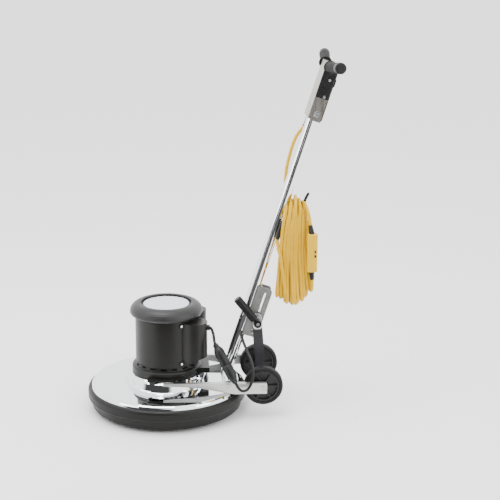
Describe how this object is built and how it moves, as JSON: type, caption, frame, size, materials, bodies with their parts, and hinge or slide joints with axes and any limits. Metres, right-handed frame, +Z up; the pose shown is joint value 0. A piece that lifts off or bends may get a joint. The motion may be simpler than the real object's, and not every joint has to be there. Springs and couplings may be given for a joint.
{
  "type": "high speed floor burnisher",
  "caption": "Floor burnisher: an upright motor on a round chromed deck with a pad below, transport wheels, and a tilting handle with cord, locked by a slotted bracket and strut.",
  "frame": {"origin": "on the motor's axis, on the floor under the pad", "axes": "+Z up along the motor's axis, +X to the rear towards the operator, +Y to the machine's right"},
  "size_m": [0.7863, 0.508, 1.1325],
  "materials": {
    "bumper_rubber": "matte",
    "deck_chrome": "polished",
    "motor_paint": "satin",
    "cap_plastic": "fine grain",
    "disc": "satin",
    "inner_steel": "machined",
    "end_bell_cast": "cast",
    "copper_wire": "varnished wire",
    "capacitor_can": "glossy",
    "screws": "zinc plated",
    "dark_screws": "black oxide",
    "arm_steel": "bead blasted",
    "axle_steel": "turned",
    "black_rubber": "matte",
    "fan_plastic": "moulded",
    "driver_plastic": "moulded",
    "pad_fibre": "non-woven fibre",
    "retainer_plastic": "moulded",
    "tyre_rubber": "matte",
    "hub_plastic": "moulded",
    "tube_chrome": "polished",
    "bracket_steel": "zinc plated",
    "head_steel": "brushed",
    "head_plastic": "moulded",
    "grip_rubber": "matte",
    "grip_bar_steel": "drawn",
    "switch_plastic": "moulded",
    "button_red": "moulded",
    "hook_paint": "gloss",
    "yellow_jacket": "satin vinyl",
    "box_plastic": "moulded",
    "strut_paint": "satin",
    "clamp_zinc": "zinc plated",
    "lever_plastic": "moulded"
  },
  "bodies": {
    "base": {"bumper": "bumper_rubber", "deck_shell": "deck_chrome", "riser_collar": "deck_chrome", "motor_base": "motor_paint", "motor_drum": "motor_paint", "upper_end_bell": "end_bell_cast", "motor_cap": "cap_plastic", "cap_disc": "disc", "cap_screws": "dark_screws", "stator_core": "inner_steel", "stator_windings": "copper_wire", "lower_bearing": "inner_steel", "upper_bearing": "inner_steel", "left_capacitor_cover": "motor_paint", "right_capacitor_cover": "motor_paint", "capacitors": "capacitor_can", "cover_screws": "screws", "left_arm": "arm_steel", "right_arm": "arm_steel", "arm_bolts": "dark_screws", "pivot_shaft": "axle_steel", "axle": "axle_steel", "axle_spacers": "axle_steel", "motor_lead": "black_rubber", "lead_connector": "black_rubber", "lead_loop": "black_rubber"},
    "spindle": {"motor_shaft": "inner_steel", "rotor_core": "inner_steel", "cooling_fan": "fan_plastic", "drive_hub": "inner_steel", "pad_driver": "driver_plastic", "pad": "pad_fibre", "pad_retainer": "retainer_plastic"},
    "left_wheel": {"left_tyre": "tyre_rubber", "left_hub": "hub_plastic"},
    "right_wheel": {"right_tyre": "tyre_rubber", "right_hub": "hub_plastic"},
    "handle": {"handle_tube": "tube_chrome", "slotted_bracket": "bracket_steel", "head_channel": "head_steel", "head_side_panels": "head_plastic", "head_rear_cover": "head_plastic", "head_bolts": "screws", "grip_bar": "grip_bar_steel", "left_grip": "grip_rubber", "right_grip": "grip_rubber", "switch_block": "switch_plastic", "cord_gland": "black_rubber", "cord_hook": "hook_paint", "power_cord": "yellow_jacket", "cord_hank": "yellow_jacket", "protection_box": "box_plastic", "plug": "black_rubber"},
    "left_trigger": {"left_trigger": "head_plastic"},
    "right_trigger": {"right_trigger": "head_plastic"},
    "lock_button": {"lock_button": "button_red"},
    "reset_button": {"reset_button": "head_plastic"},
    "strut": {"strut": "strut_paint"},
    "clamp": {"clamp_bolt": "clamp_zinc"},
    "lever": {"clamp_lever": "lever_plastic"}
  },
  "joints": [
    {"name": "motor_spin", "type": "hinge", "parent": "base", "child": "spindle", "pos_m": [0, 0, 0.15], "axis": [0, 0, 1], "continuous": true},
    {"name": "left_wheel_spin", "type": "hinge", "parent": "base", "child": "left_wheel", "pos_m": [0.3045, -0.107, 0.1035], "axis": [0, 1, 0], "continuous": true},
    {"name": "right_wheel_spin", "type": "hinge", "parent": "base", "child": "right_wheel", "pos_m": [0.3045, 0.107, 0.1035], "axis": [0, 1, 0], "continuous": true},
    {"name": "handle_tilt", "type": "hinge", "parent": "base", "child": "handle", "pos_m": [0.192, 0, 0.1135], "axis": [0, 1, 0], "range_deg": [-12, 30], "deforming": ["lead_loop"]},
    {"name": "strut_swing", "type": "hinge", "parent": "base", "child": "strut", "pos_m": [0.3045, 0, 0.1035], "axis": [0, 1, 0], "range_deg": [-15, 37.5]},
    {"name": "clamp_slide", "type": "slide", "parent": "handle", "child": "clamp", "axis": [0.3049, 0, 0.9524], "range_m": [-0.0255, 0.0625]},
    {"name": "lever_turn", "type": "hinge", "parent": "clamp", "child": "lever", "pos_m": [0.28911, -0.04, 0.28926], "axis": [0, 1, 0], "range_deg": [0, 45]},
    {"name": "left_trigger_press", "type": "hinge", "parent": "handle", "child": "left_trigger", "pos_m": [0.51351, -0.029, 1.07527], "axis": [0, 1, 0], "range_deg": [0, 7], "stiffness_Nm_per_rad": 1.2, "springref_deg": -17.19},
    {"name": "right_trigger_press", "type": "hinge", "parent": "handle", "child": "right_trigger", "pos_m": [0.51351, 0.029, 1.07527], "axis": [0, 1, 0], "range_deg": [0, 7], "stiffness_Nm_per_rad": 1.2, "springref_deg": -17.19},
    {"name": "lock_press", "type": "slide", "parent": "handle", "child": "lock_button", "axis": [-0.9524, 0, 0.3049], "range_m": [0, 0.004], "stiffness_N_per_m": 300, "springref_m": -0.004},
    {"name": "reset_press", "type": "slide", "parent": "handle", "child": "reset_button", "axis": [0, 1, 0], "range_m": [0, 0.002], "stiffness_N_per_m": 600, "springref_m": -0.003}
  ],
  "couplings": [
    {"joint": "strut_swing", "follows": "handle_tilt", "ratio": 1.235},
    {"joint": "clamp_slide", "follows": "handle_tilt", "m_per_rad": 0.11803}
  ]
}
